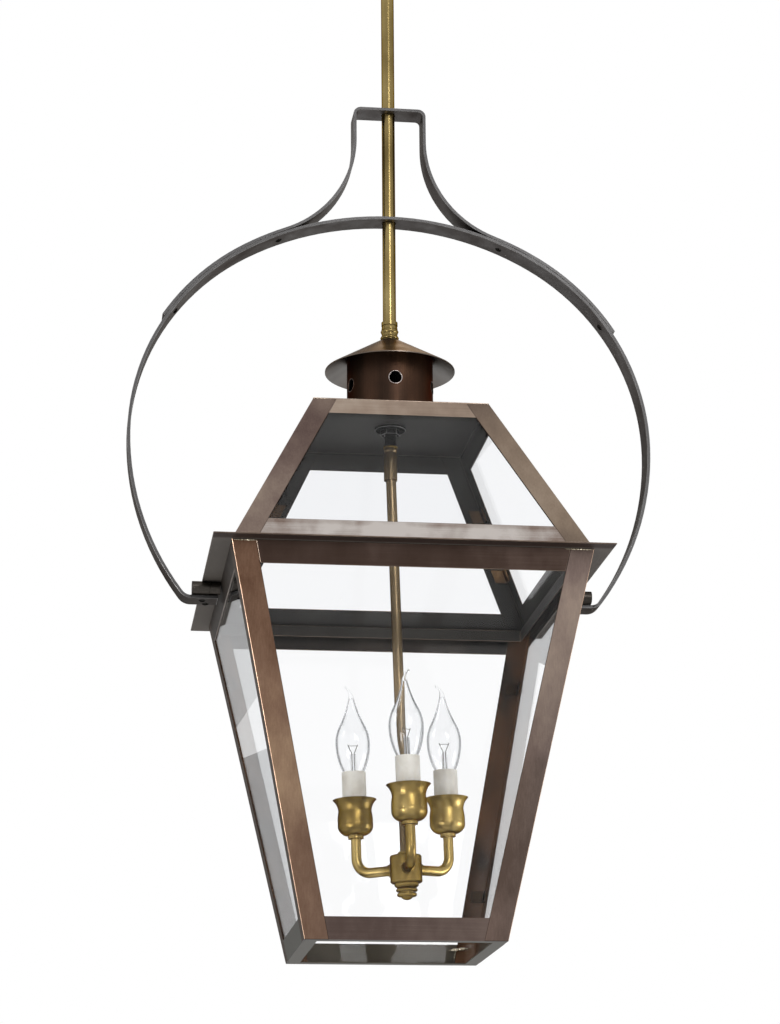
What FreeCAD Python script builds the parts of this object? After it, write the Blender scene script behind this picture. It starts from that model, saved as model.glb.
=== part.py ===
"""Four-sided glazed pendant lantern in a strap yoke, with a three-candle light cluster.

Millimetres, +Z up, front towards -Y. The origin is the centre of the down rod's upper end.
Heights in the code are counted from the underside of the eave plate, where roof and body meet.
"""
import FreeCAD
import Part
import Sketcher
import math
import os
from types import SimpleNamespace

from FreeCAD import Placement, Rotation, Vector

# Driving dimensions
SIZES = {
    # Body frame
    "body_top_width": 320.0,
    "body_bottom_width": 178.0,
    "body_height": 336.0,
    "sheet": 1.0,
    "post_face": 21.2,
    "body_top_rail": 20.0,
    "body_back_rail": 22.5,
    "body_bottom_rail": 19.5,
    "bottom_flange": 12.0,
    # Eave and roof frame
    "eave_overhang": 17.0,
    "eave_sheet": 1.2,
    "eave_ledge": 12.0,
    "skirt_drop": 10.0,
    "roof_top_width": 162.0,
    "roof_height": 159.0,
    "hip_face": 21.2,
    "roof_top_rail": 16.0,
    "roof_lower_rail": 23.0,
    "roof_back_rail": 18.5,
    # Glass
    "glass": 3.0,
    "glass_gap": 0.8,
    "glass_top_gap": 2.0,
    "clip_leg": 12.0,
    "clip_height": 11.0,
    "body_clip_drop": 60.0,
    "body_clip_lift": 65.5,
    "roof_clip_lift": 51.0,
    "roof_clip_drop": 54.5,
    # Chimney and cone
    "chimney_diameter": 82.0,
    "vent_diameter": 12.5,
    "vent_height": 37.0,
    "vent_count": 5.0,
    "cone_diameter": 124.0,
    "cone_rim_height": 56.0,
    "cone_rise": 32.0,
    "cone_flat": 16.0,
    # Down rod, coupling and nipple
    "rod_diameter": 12.7,
    "rod_wall": 1.2,
    "rod_length": 385.0,
    "rod_seat": 10.0,
    "rod_thread_depth": 14.0,
    "coupling_diameter": 15.6,
    "coupling_height": 18.0,
    "coupling_ring": 3.5,
    "coupling_waist": 0.6,
    "nipple_diameter": 10.5,
    "nipple_bore": 6.0,
    "nipple_seat": 6.0,
    "nipple_drop": 31.0,
    "washer_diameter": 29.4,
    "washer_thickness": 2.5,
    "locknut_flats": 17.0,
    "locknut_height": 5.0,
    # Yoke straps
    "strap_width": 25.0,
    "strap_thickness": 3.0,
    "strap_gap": 0.1,
    "rod_hole_gap": 0.6,
    "hoop_side_gap": 70.0,
    "hoop_shoulder_offset": 29.8,
    "hoop_shoulder_angle": 30.0,
    "hoop_waist_height": 143.5,
    "hoop_lower_offset": 8.0,
    "hoop_curl_radius": 12.0,
    "crown_rise": 114.5,
    "crown_half_width": 34.0,
    "crown_corner_radius": 6.0,
    "crown_leg": 33.0,
    "crown_end_angle": 32.0,
    "upper_rivet_inset": 9.0,
    "lower_rivet_inset": 13.5,
    "rivet_diameter": 3.6,
    "rivet_head": 6.4,
    "rivet_dome": 1.4,
    # Yoke pivots
    "knuckle_diameter": 12.0,
    "bracket_knuckle": 9.5,
    "leaf_width": 40.0,
    "leaf_thickness": 2.0,
    "leaf_wall_gap": 2.0,
    "leaf_rivet_reach": 10.5,
    "leaf_rivet_inset": 4.0,
    "leaf_rivet_spread": 12.5,
    "pin_diameter": 4.8,
    # Light stem
    "stem_coupling_diameter": 12.6,
    "stem_coupling_drop": 18.0,
    "stem_coupling_length": 34.0,
    "stem_bead": 6.5,
    "stem_seat": 11.7,
    "stem_diameter": 9.5,
    "stem_bore": 7.0,
    "stem_length": 376.0,
    "stem_lean": 1.76,
    # Cluster
    "cluster_turn": 2.0,
    "hub_diameter": 29.0,
    "hub_height": 25.0,
    "hub_collar": 3.0,
    "hub_seat": 10.0,
    "boss_diameter": 11.6,
    "boss_reach": 16.5,
    "finial_height": 15.5,
    "finial_diameter": 22.0,
    "arm_diameter": 9.2,
    "arm_reach": 49.0,
    "arm_rise": 35.5,
    "arm_bend": 14.0,
    "arm_seat": 5.0,
    "arm_collar": 14.4,
    "arm_collar_height": 3.0,
    "arm_nipple": 6.0,
    "arm_nipple_height": 7.0,
    # Candle cups, sleeves and sockets
    "cup_height": 33.0,
    "cup_rim": 40.4,
    "cup_belly": 32.4,
    "cup_waist": 30.6,
    "cup_foot": 14.4,
    "cup_wall": 1.2,
    "cup_belly_height": 10.5,
    "cup_waist_height": 22.0,
    "sleeve_diameter": 22.2,
    "sleeve_wall": 1.3,
    "sleeve_lift": 3.3,
    "sleeve_height": 25.5,
    "socket_diameter": 18.6,
    "socket_lift": 2.4,
    "socket_drop": 6.0,
    # Lamps
    "lamp_base_diameter": 11.9,
    "lamp_base_length": 22.0,
    "lamp_base_gap": 0.4,
    "lamp_neck": 14.6,
    "lamp_neck_drop": 4.0,
    "lamp_diameter": 31.8,
    "lamp_belly_height": 27.0,
    "lamp_shoulder": 23.4,
    "lamp_shoulder_height": 44.0,
    "lamp_point": 4.8,
    "lamp_point_height": 71.0,
    "lamp_height": 81.0,
    "lamp_tip_offset": 5.0,
    "lamp_tip": 2.4,
    "lamp_glass": 0.8,
    "lamp_stem": 5.2,
    "lamp_stem_bore": 3.0,
    "lamp_stem_height": 17.0,
    "lamp_wire": 0.7,
    "lamp_wire_spread": 4.6,
    "lamp_wire_height": 26.0,
    # Fits
    "close_gap": 0.15,
    "seat_gap": 0.3,
}

# Azimuth of each arm in the cluster, and the way each lamp's bent tip points
ARM_AZIMUTHS = {"front": -90.0, "right": 30.0, "left": 150.0}
TIP_AZIMUTHS = {"front": 30.0, "right": 180.0, "left": 180.0}
SIDES = {"front": 0, "right": 90, "back": 180, "left": 270}
CORNERS = {"back_right": 0, "back_left": 90, "front_left": 180, "front_right": 270}


class Dim:
    """A number together with the sheet expression that gives it."""

    def __init__(self, value, text):
        self.value = float(value)
        self.text = text

    def _with(self, other, sign, value):
        return Dim(value, "(%s %s %s)" % (self.text, sign, dim(other).text))

    def __add__(self, other):
        return self._with(other, "+", self.value + dim(other).value)

    def __sub__(self, other):
        return self._with(other, "-", self.value - dim(other).value)

    def __mul__(self, other):
        return self._with(other, "*", self.value * dim(other).value)

    def __truediv__(self, other):
        return self._with(other, "/", self.value / dim(other).value)

    def __radd__(self, other):
        return dim(other) + self

    def __rsub__(self, other):
        return dim(other) - self

    def __rmul__(self, other):
        return dim(other) * self

    def __neg__(self):
        return Dim(-self.value, "(0 - %s)" % self.text)


def dim(value):
    """A plain number as a Dim; a Dim as it is."""
    return value if isinstance(value, Dim) else Dim(value, repr(float(value)))


def root(value):
    """Square root of a Dim."""
    return Dim(math.sqrt(value.value), "sqrt(%s)" % value.text)


def sine(degrees):
    """Sine of an angle in degrees."""
    return Dim(math.sin(math.radians(degrees.value)), "sin(%s * 1 deg)" % degrees.text)


def cosine(degrees):
    """Cosine of an angle in degrees."""
    return Dim(math.cos(math.radians(degrees.value)), "cos(%s * 1 deg)" % degrees.text)


ZERO = dim(0.0)
s = SimpleNamespace(**{name: Dim(value, "Sizes." + name) for name, value in SIZES.items()})
doc = FreeCAD.newDocument("PendantLantern")
nodes = []


def fill_sheet():
    """Write the driving dimensions to a spreadsheet, one aliased cell each."""
    sheet = doc.addObject("Spreadsheet::Sheet", "Sizes")
    for row, (name, value) in enumerate(SIZES.items(), start=1):
        sheet.set("A%d" % row, name)
        sheet.set("B%d" % row, repr(value))
        sheet.setAlias("B%d" % row, name)
    doc.recompute()


def node(thing, label):
    """Give a finished piece its name and count it among the exported pieces."""
    thing.Label = label
    nodes.append(thing)
    return thing


def new_body(name):
    """An empty PartDesign body."""
    return doc.addObject("PartDesign::Body", name)


def plane(body, role):
    """One of a body's own origin planes or axes."""
    return next(item for item in body.Origin.OriginFeatures if item.Role == role)


def arc_of(start, end, radius, turn):
    """Circular arc between two points, turning left (+1) or right (-1) on the way."""
    chord = end - start
    half = chord.Length / 2
    rise = math.sqrt(max(radius * radius - half * half, 0.0))
    left = Vector(-chord.y, chord.x, 0) / chord.Length
    centre = (start + end) / 2 + left * rise * turn
    first, last = (start, end) if turn > 0 else (end, start)
    begin = math.atan2(first.y - centre.y, first.x - centre.x)
    finish = math.atan2(last.y - centre.y, last.x - centre.x)
    if finish <= begin:
        finish += 2 * math.pi
    return Part.ArcOfCircle(Part.Circle(centre, Vector(0, 0, 1), radius), begin, finish)


def pin(rules, geometry, point, axis, place):
    """Hold one sketch point at a place along one axis."""
    if place is ZERO:
        rules.append((Sketcher.Constraint("PointOnObject", geometry, point, -2 if axis == "X" else -1), None))
    else:
        rule = Sketcher.Constraint("Distance" + axis, -1, 1, geometry, point, place.value)
        rules.append((rule, place.text))


def draw(body, name, role, loops, level=None, closed=True):
    """Sketch on an origin plane, shifted along its normal by level.

    A loop is a list of corners (x, y), or (x, y, radius, turn) where the side that follows the
    corner is an arc, or one circle ("circle", x, y, radius).
    """
    sketch = body.newObject("Sketcher::SketchObject", name)
    sketch.AttachmentSupport = (plane(body, role), "")
    sketch.MapMode = "FlatFace"
    if level is not None:
        sketch.setExpression("AttachmentOffset.Base.z", level.text)
    rules = []
    for loop in loops:
        if loop[0] == "circle":
            draw_circle(sketch, rules, *loop[1:])
        else:
            draw_loop(sketch, rules, loop, closed)
    numbers = sketch.addConstraint([rule for rule, text in rules])
    for number, (rule, text) in zip(numbers, rules):
        if text:
            sketch.setExpression("Constraints[%d]" % number, text)
    return sketch


def draw_circle(sketch, rules, x, y, radius):
    """One pinned circle."""
    circle = Part.Circle(Vector(x.value, y.value, 0), Vector(0, 0, 1), radius.value)
    geometry = sketch.addGeometry(circle)
    pin(rules, geometry, 3, "X", x)
    pin(rules, geometry, 3, "Y", y)
    rules.append((Sketcher.Constraint("Radius", geometry, radius.value), radius.text))


def draw_loop(sketch, rules, loop, closed):
    """One run of lines and arcs through pinned corners."""
    points = [Vector(corner[0].value, corner[1].value, 0) for corner in loop]
    count = len(loop) if closed else len(loop) - 1
    sides = []
    for index in range(count):
        start, end = points[index], points[(index + 1) % len(points)]
        if len(loop[index]) == 2:
            geometry = sketch.addGeometry(Part.LineSegment(start, end))
            sides.append((geometry, 1, 2))
        else:
            radius, turn = loop[index][2:]
            geometry = sketch.addGeometry(arc_of(start, end, radius.value, turn))
            sides.append((geometry, 1, 2) if turn > 0 else (geometry, 2, 1))
            rules.append((Sketcher.Constraint("Radius", geometry, radius.value), radius.text))
        pin(rules, geometry, sides[-1][1], "X", loop[index][0])
        pin(rules, geometry, sides[-1][1], "Y", loop[index][1])
    for index in range(count if closed else count - 1):
        here, after = sides[index], sides[(index + 1) % count]
        rules.append((Sketcher.Constraint("Coincident", here[0], here[2], after[0], after[1]), None))
    if not closed:
        pin(rules, sides[-1][0], sides[-1][2], "X", loop[-1][0])
        pin(rules, sides[-1][0], sides[-1][2], "Y", loop[-1][1])


def pad(body, name, sketch, length, symmetric=False):
    """Extrude a sketch along its plane's normal, or to both sides of it."""
    feature = body.newObject("PartDesign::Pad", name)
    feature.Profile = sketch
    feature.setExpression("Length", length.text)
    feature.SideType = "Symmetric" if symmetric else "One side"
    return feature


def pocket(body, name, sketch, depth, along_normal=False):
    """Cut a sketch into the body, against its plane's normal or along it."""
    feature = body.newObject("PartDesign::Pocket", name)
    feature.Profile = sketch
    feature.setExpression("Length", depth.text)
    feature.Reversed = along_normal
    return feature


def loft(body, name, sections):
    """Ruled solid through sketches, in order."""
    feature = body.newObject("PartDesign::AdditiveLoft", name)
    feature.Profile = sections[0]
    feature.Sections = sections[1:]
    feature.Ruled = True
    return feature


def pattern(body, originals, count):
    """Copies of features round the body's Z axis."""
    feature = body.newObject("PartDesign::PolarPattern", "Around")
    feature.Originals = originals
    feature.Axis = (plane(body, "Z_Axis"), [""])
    feature.Angle = 360
    feature.Occurrences = count
    body.Tip = feature
    return feature


def turned(name, loop):
    """Body of revolution about its own Z axis, from corners (radius, height)."""
    body = new_body(name)
    sketch = draw(body, name + "_profile", "XZ_Plane", [loop])
    feature = body.newObject("PartDesign::Revolution", name + "_turn")
    feature.Profile = sketch
    feature.ReferenceAxis = (sketch, ["V_Axis"])
    feature.Angle = 360
    return body


def wedge(name, low, high, span_at, turn=0):
    """Block between two heights, with span_at(height) its (x from, x to, y from, y to) there."""
    block = doc.addObject("Part::Wedge", name)
    block.setExpression("Ymin", up(low).text)
    block.setExpression("Ymax", up(high).text)
    for height, mark in ((low, ""), (high, "2")):
        x_from, x_to, y_from, y_to = span_at(height)
        block.setExpression("X%smin" % mark, x_from.text)
        block.setExpression("X%smax" % mark, x_to.text)
        block.setExpression("Z%smin" % mark, (-y_to).text)
        block.setExpression("Z%smax" % mark, (-y_from).text)
    block.Placement = spin(turn) * Placement(Vector(0, 0, 0), Rotation(Vector(1, 0, 0), 90))
    return block


def fuse(name, pieces):
    """One solid from pieces that overlap."""
    together = doc.addObject("Part::MultiFuse", name)
    together.Shapes = pieces
    together.Refine = True
    return together


def strip(name, low, high, half_at, end, wall, turn=0):
    """Sloping strip along one side, inward from half_at(height), short of each corner by end."""
    return wedge(name, low, high, lambda height: (
        end - half_at(height), half_at(height) - end, -half_at(height), wall - half_at(height)), turn)


def angle(name, low, high, half_at, leg, wall, turn=0):
    """Sloping angle in one corner, inward from half_at(height)."""
    along = wedge(name + "Leg", low, high, lambda height: (
        half_at(height) - leg, half_at(height), half_at(height) - wall, half_at(height)), turn)
    across = wedge(name + "Leg", low, high, lambda height: (
        half_at(height) - wall, half_at(height), half_at(height) - leg, half_at(height)), turn)
    return fuse(name, [along, across])


def group(label, pieces):
    """Like pieces that share one name."""
    together = doc.addObject("Part::Compound", label)
    together.Links = pieces
    return node(together, label)


def spin(degrees):
    """Turn about the Z axis."""
    return Placement(Vector(0, 0, 0), Rotation(Vector(0, 0, 1), degrees))


# Heights of the hanging parts, counted from the underside of the eave plate
cone_top = s.roof_height + s.cone_rim_height + s.cone_rise
coupling_top = cone_top + s.coupling_height
rod_foot = coupling_top - s.rod_seat
ceiling = s.roof_height - s.sheet
nipple_radius = s.nipple_diameter / 2
nipple_hole = nipple_radius + s.close_gap
wire_radius = s.nipple_bore / 2
eave_level = -(s.rod_length + rod_foot)


def up(height):
    """Height in the part's frame of a height above the eave's underside."""
    return eave_level + height


def body_half(height):
    """Half width of the body's outer faces at a height at or below the eave."""
    return s.body_top_width / 2 + height * (s.body_top_width - s.body_bottom_width) / (2 * s.body_height)


def roof_half(height):
    """Half width of the roof's outer faces at a height above the eave."""
    return s.body_top_width / 2 - height * (s.body_top_width - s.roof_top_width) / (2 * s.roof_height)


def square(half):
    """Square loop."""
    return [(-half, -half), (half, -half), (half, half), (-half, half)]


def within(half_at, depth):
    """Half width of faces that lie a depth inside others."""
    return lambda height: half_at(height) - depth


def make_rod():
    """Down rod, a tube bored for a nipple at its top, and the turned coupling that it stands in."""
    outer = s.rod_diameter / 2
    inner = outer - s.rod_wall
    foot = up(rod_foot)
    rod = turned("Rod", [
        (inner, foot), (outer, foot), (outer, ZERO), (nipple_hole, ZERO),
        (nipple_hole, -s.rod_thread_depth), (inner, -s.rod_thread_depth)])
    node(rod, "down_rod")

    base, top = up(cone_top), up(coupling_top)
    ring = s.coupling_diameter / 2
    neck = ring - s.coupling_waist
    ring_top = base + s.coupling_ring
    ring_low = top - s.coupling_ring
    middle = (ring_low - ring_top) / 2
    bulge = (middle * middle + s.coupling_waist * s.coupling_waist) / (2 * s.coupling_waist)
    socket = outer + s.close_gap
    seat = up(rod_foot)
    shelf = base + s.nipple_seat
    coupling = turned("Coupling", [
        (nipple_hole, base), (ring, base), (ring, ring_top), (neck, ring_top, bulge, 1),
        (neck, ring_low), (ring, ring_low), (ring, top), (socket, top), (socket, seat),
        (wire_radius, seat), (wire_radius, shelf), (nipple_hole, shelf)])
    node(coupling, "rod_coupling")


def make_chimney():
    """Vent cone, vented chimney, and the nipple, washer and nut that clamp them to the roof."""
    rim, flat = s.cone_diameter / 2, s.cone_flat / 2
    top, low = up(cone_top), up(s.roof_height + s.cone_rim_height)
    cone = turned("Cone", [
        (nipple_hole, top), (nipple_hole, top - s.sheet), (flat, top - s.sheet),
        (rim, low - s.sheet), (rim, low), (flat, top)])
    node(cone, "vent_cone")

    radius = s.chimney_diameter / 2
    base = up(s.roof_height)
    under_cone = low - s.sheet + (rim - radius) * s.cone_rise / (rim - flat) - s.close_gap
    chimney = turned("Chimney", [
        (radius - s.sheet, base), (radius, base), (radius, under_cone), (radius - s.sheet, under_cone)])
    hole = draw(chimney, "Vent", "XZ_Plane",
                [("circle", ZERO, base + s.vent_height, s.vent_diameter / 2)])
    cut = pocket(chimney, "VentCut", hole, s.chimney_diameter, along_normal=True)
    pattern(chimney, [cut], int(SIZES["vent_count"]))
    node(chimney, "chimney")

    foot, head = up(ceiling - s.nipple_drop), up(cone_top + s.nipple_seat - s.close_gap)
    nipple = turned("Nipple", [
        (wire_radius, foot), (nipple_radius, foot), (nipple_radius, head), (wire_radius, head)])
    node(nipple, "support_nipple")

    under = up(ceiling)
    washer_low = under - s.washer_thickness
    washer = s.washer_diameter / 2
    node(turned("Washer", [(nipple_hole, washer_low), (washer, washer_low), (washer, under),
                           (nipple_hole, under)]), "ceiling_washer")
    nut = new_body("Locknut")
    flat_half = s.locknut_flats / 2
    point = s.locknut_flats / root(dim(3.0))
    hexagon = [(point, ZERO), (point / 2, flat_half), (-point / 2, flat_half),
               (-point, ZERO), (-point / 2, -flat_half), (point / 2, -flat_half)]
    sketch = draw(nut, "Hexagon", "XY_Plane", [hexagon, ("circle", ZERO, ZERO, nipple_hole)],
                  washer_low - s.locknut_height)
    pad(nut, "NutPad", sketch, s.locknut_height)
    node(nut, "ceiling_locknut")


def make_roof():
    """Folded roof plate, eave plate with its rails and skirt, hip angles and roof panes."""
    plate = new_body("RoofTop")
    outline = [square(roof_half(ceiling)), ("circle", ZERO, ZERO, nipple_hole)]
    pad(plate, "Top", draw(plate, "TopOutline", "XY_Plane", outline, up(ceiling)), s.sheet)
    edges = [strip("RoofEdge", ceiling - s.roof_top_rail, ceiling, roof_half, s.hip_face, s.sheet, turn)
             for turn in SIDES.values()]
    node(fuse("RoofPlate", [plate] + edges), "roof_plate")

    eave = new_body("Eave")
    inner = s.body_top_width / 2 - s.eave_ledge
    outer = s.body_top_width / 2 + s.eave_overhang
    ring = draw(eave, "Ledge", "XY_Plane", [square(outer), square(inner)], up(ZERO))
    pad(eave, "LedgePad", ring, s.eave_sheet)
    skirt = draw(eave, "Skirt", "XY_Plane", [square(inner + s.sheet), square(inner)], up(-s.skirt_drop))
    pad(eave, "SkirtPad", skirt, s.skirt_drop)
    rails = [strip("RoofRail", s.eave_sheet, s.roof_back_rail if side == "back" else s.roof_lower_rail,
                   roof_half, s.hip_face, s.sheet, turn) for side, turn in SIDES.items()]
    node(fuse("EavePlate", [eave] + rails), "eave_plate")

    for corner, turn in CORNERS.items():
        node(angle("Hip", s.eave_sheet, ceiling, roof_half, s.hip_face, s.sheet, turn), "roof_hip_" + corner)
    for side, turn in SIDES.items():
        node(strip("RoofPane", s.eave_sheet, ceiling - s.glass_top_gap, within(roof_half, s.sheet),
                   s.glass + s.glass_gap, s.glass, turn), "roof_pane_" + side)


def make_body():
    """Corner posts, rails and panes of the body."""
    floor = -s.body_height
    for corner, turn in CORNERS.items():
        node(angle("Post", floor, ZERO, body_half, s.post_face, s.sheet, turn), "corner_post_" + corner)
    group("body_top_rails", [
        strip("TopRail", -(s.body_back_rail if side == "back" else s.body_top_rail), ZERO,
              body_half, s.post_face, s.sheet, turn) for side, turn in SIDES.items()])
    group("body_bottom_rails", [bottom_rail(floor, turn) for turn in SIDES.values()])
    for side, turn in SIDES.items():
        node(strip("BodyPane", floor + s.sheet, -s.glass_top_gap, within(body_half, s.sheet),
                   s.glass + s.glass_gap, s.glass, turn), "body_pane_" + side)


def bottom_rail(floor, turn):
    """Bottom rail of one side with its mitred inward flange, which the pane stands on."""
    half = body_half(floor)
    end, rooted = half - s.post_face, half - s.sheet / 2
    wall, lip = half - s.sheet, half - s.bottom_flange
    flange = new_body("Flange")
    outline = [(-end, -rooted), (end, -rooted), (end, -wall), (wall, -wall),
               (lip, -lip), (-lip, -lip), (-wall, -wall), (-end, -wall)]
    pad(flange, "FlangePad", draw(flange, "FlangeOutline", "XY_Plane", [outline], up(floor)), s.sheet)
    flange.Placement = spin(turn)
    web = strip("BottomWeb", floor, floor + s.body_bottom_rail, body_half, s.post_face, s.sheet, turn)
    return fuse("BottomRail", [web, flange])


def make_clips():
    """Bent clips in the inside corners, each bearing on two panes."""
    levels = [(-s.body_clip_drop, body_half), (s.body_clip_lift - s.body_height, body_half),
              (s.roof_clip_lift, roof_half), (ceiling - s.roof_clip_drop, roof_half)]
    clips = []
    for level, half_at in levels:
        low, high = level - s.clip_height / 2, level + s.clip_height / 2
        inside = within(half_at, s.sheet + s.glass)
        clips += [angle("Clip", low, high, inside, s.clip_leg, s.sheet, turn) for turn in CORNERS.values()]
    group("glass_clips", clips)


# Centre lines of the yoke straps: the hoop's arcs run from the top, over the shoulder, past the
# waist and round the curl to the flat tab, and the crown's arcs from its flat top to the hoop
half_strap = s.strap_thickness / 2
hoop_half = s.body_top_width / 2 + s.eave_overhang + s.hoop_side_gap
shoulder_sin, shoulder_cos = sine(s.hoop_shoulder_angle), cosine(s.hoop_shoulder_angle)
side_radius = hoop_half - s.hoop_shoulder_offset
top_radius = side_radius + s.hoop_shoulder_offset / shoulder_sin
lower_radius = hoop_half + s.hoop_lower_offset
waist = up(s.hoop_waist_height)
top_centre = waist - s.hoop_shoulder_offset * shoulder_cos / shoulder_sin
hoop_top = top_centre + top_radius
knuckle_radius = s.knuckle_diameter / 2
knuckle_room = knuckle_radius + s.seat_gap
pin_height = up(-knuckle_room)
leaf_low = pin_height - knuckle_room
tab_height = leaf_low - half_strap
curl = s.hoop_curl_radius
curl_sin = (waist - tab_height - curl) / (lower_radius - curl)
curl_cos = root(1 - curl_sin * curl_sin)
curl_start = (lower_radius - curl) * curl_cos - s.hoop_lower_offset
pivot_start = s.body_top_width / 2 + s.seat_gap
bracket_end = s.body_top_width / 2 + s.eave_overhang - s.seat_gap
leaf_start = s.body_top_width / 2 + s.leaf_wall_gap
leaf_end = curl_start - s.seat_gap
leaf_back = s.leaf_width / 2
pin_setback = knuckle_radius - leaf_back
leaf_front = pin_setback + knuckle_room
rivet_radius = s.rivet_diameter / 2
crown_top = hoop_top + s.crown_rise
flare_start = crown_top - s.crown_leg
flare_drop = flare_start - top_centre
seat_radius = top_radius + s.strap_thickness + s.strap_gap
end_radius = side_radius + s.strap_thickness + s.strap_gap
flare = (s.crown_half_width * s.crown_half_width + flare_drop * flare_drop - seat_radius * seat_radius) / (
    2 * (seat_radius - s.crown_half_width))
meet_sin = (s.crown_half_width + flare) / (seat_radius + flare)
meet_cos = flare_drop / (seat_radius + flare)


def on_top(radius, sin_part, cos_part):
    """Point on a circle about the hoop's top centre, by the angle from upright."""
    return radius * sin_part, top_centre + radius * cos_part


def on_side(radius, angle):
    """Point on a circle about the right side arc's centre, by the angle from level."""
    return s.hoop_shoulder_offset + radius * cosine(angle), waist + radius * sine(angle)


def strap_body(name, loop):
    """Half a strap padded across its width and mirrored to the left."""
    body = new_body(name)
    half = pad(body, name + "Half", draw(body, name + "Edge", "XZ_Plane", [loop]), s.strap_width, True)
    whole = body.newObject("PartDesign::Mirrored", name + "Whole")
    whole.Originals = [half]
    whole.MirrorPlane = (plane(body, "YZ_Plane"), [""])
    body.Tip = whole
    return body


def bore_strap(body, height):
    """Hole for the rod through a strap's flat top."""
    hole = draw(body, "RodHole", "XY_Plane", [("circle", ZERO, ZERO, s.rod_diameter / 2 + s.rod_hole_gap)],
                height + s.strap_thickness)
    cut = pocket(body, "RodHoleCut", hole, s.strap_thickness * 3)
    body.Tip = cut


def hoop_loop():
    """Edge of the hoop's right half, outside first."""
    loop = []
    for turn in (-1, 1):
        grow = half_strap if turn < 0 else -half_strap
        radii = [radius + grow for radius in (top_radius, side_radius, lower_radius, curl)]
        shoulder = on_top(radii[0], shoulder_sin, shoulder_cos)
        low = (radii[2] * curl_cos - s.hoop_lower_offset, waist - radii[2] * curl_sin)
        points = [(ZERO, top_centre + radii[0]), shoulder, (hoop_half + grow, waist), low,
                  (curl_start, tab_height - grow), (leaf_start, tab_height - grow)]
        loop += run(points, radii, turn)
    return loop


def run(points, radii, turn):
    """Corners with the arcs between the first of them, in order or backwards."""
    arcs = [(radius, -1) for radius in radii]
    if turn < 0:
        return [point + arc for point, arc in zip(points, arcs)] + points[len(arcs):]
    back = points[::-1]
    plain = len(points) - len(arcs) - 1
    bent = [point + (radius, 1) for point, radius in zip(back[plain:], radii[::-1])]
    return back[:plain] + bent + back[-1:]


def crown_loop():
    """Edge of the crown's right half, outside first."""
    leg, corner = s.crown_half_width, s.crown_corner_radius
    edges = []
    for grow in (half_strap, -half_strap):
        edges.append([
            (ZERO, crown_top + grow), (leg - corner, crown_top + grow), (leg + grow, crown_top - corner),
            (leg + grow, flare_start), on_top(seat_radius + grow, meet_sin, meet_cos),
            on_top(seat_radius + grow, shoulder_sin, shoulder_cos),
            on_side(end_radius + grow, s.crown_end_angle)])
    bends = [(corner, half_strap, -1), (flare, -half_strap, 1),
             (seat_radius, half_strap, -1), (end_radius, half_strap, -1)]
    places = (1, 3, 4, 5)
    outside, inside = edges
    loop = list(outside)
    for place, (radius, grow, turn) in zip(places, bends):
        loop[place] = loop[place] + (radius + grow, turn)
    back = list(inside)
    for place, (radius, grow, turn) in zip(places, bends):
        back[place + 1] = back[place + 1] + (radius - grow, -turn)
    return loop + back[::-1]


def rivet(label, grip_low, grip_high, place):
    """Round-headed rivet along local Z, gripping from grip_low to grip_high."""
    head = s.rivet_head / 2
    dome = (head * head + s.rivet_dome * s.rivet_dome) / (2 * s.rivet_dome)
    low, high = -grip_low - s.close_gap / 3, grip_high + s.close_gap / 3
    body = turned(label, [
        (ZERO, low - s.rivet_dome, dome, 1), (head, low), (rivet_radius, low), (rivet_radius, high),
        (head, high, dome, 1), (ZERO, high + s.rivet_dome)])
    body.Placement = place
    return body


def strap_rivet_places():
    """Seats of the four rivets that join crown and hoop, at the face between the two."""
    upper_reach, lower_reach = (top_radius + half_strap).value, (side_radius + half_strap).value
    upper = math.asin(meet_sin.value) + SIZES["upper_rivet_inset"] / upper_reach
    lower = math.radians(90 - SIZES["crown_end_angle"]) - SIZES["lower_rivet_inset"] / lower_reach
    places = []
    for lean, reach, middle, height in ((upper, upper_reach, 0.0, top_centre.value),
                                        (lower, lower_reach, SIZES["hoop_shoulder_offset"], waist.value)):
        for side in (1, -1):
            seat = Vector(side * (middle + reach * math.sin(lean)), 0, height + reach * math.cos(lean))
            places.append(Placement(seat, Rotation(Vector(0, 1, 0), side * math.degrees(lean))))
    return places


def leaf_rivet_spots():
    """Places of the right leaf's two rivets, (x, y)."""
    reach, near = leaf_start + s.leaf_rivet_reach, leaf_front + s.leaf_rivet_inset
    return [(reach + s.rivet_diameter, near), (reach, near + s.leaf_rivet_spread)]


def drilled(body, label, places):
    """A strap with a rivet hole at each place."""
    holes = []
    for place in places:
        hole = doc.addObject("Part::Cylinder", "RivetHole")
        hole.setExpression("Radius", (rivet_radius + s.close_gap / 2).text)
        hole.setExpression("Height", (s.strap_thickness * 4).text)
        hole.Placement = place * Placement(Vector(0, 0, -2 * SIZES["strap_thickness"]), Rotation())
        holes.append(hole)
    tools = doc.addObject("Part::MultiFuse", "RivetHoles")
    tools.Shapes = holes
    cut = doc.addObject("Part::Cut", label)
    cut.Base = body
    cut.Tool = tools
    return node(cut, label)


def make_yoke():
    """Hoop and crown straps, their rivets, and the pivots under the eave."""
    hoop = strap_body("Hoop", hoop_loop())
    bore_strap(hoop, hoop_top)
    crown = strap_body("Crown", crown_loop())
    bore_strap(crown, crown_top)
    strap_places = strap_rivet_places()
    leaf_places = [Placement(Vector(side * x.value, y.value, leaf_low.value), Rotation())
                   for side in (1, -1) for x, y in leaf_rivet_spots()]
    drilled(hoop, "hoop_strap", strap_places + leaf_places)
    drilled(crown, "crown_strap", strap_places)

    rivets = [rivet("StrapRivet", s.strap_thickness, s.strap_thickness + s.strap_gap, place)
              for place in strap_places]
    rivets += [rivet("LeafRivet", s.strap_thickness, s.leaf_thickness, place) for place in leaf_places]
    group("yoke_rivets", rivets)

    make_pivots()


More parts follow.
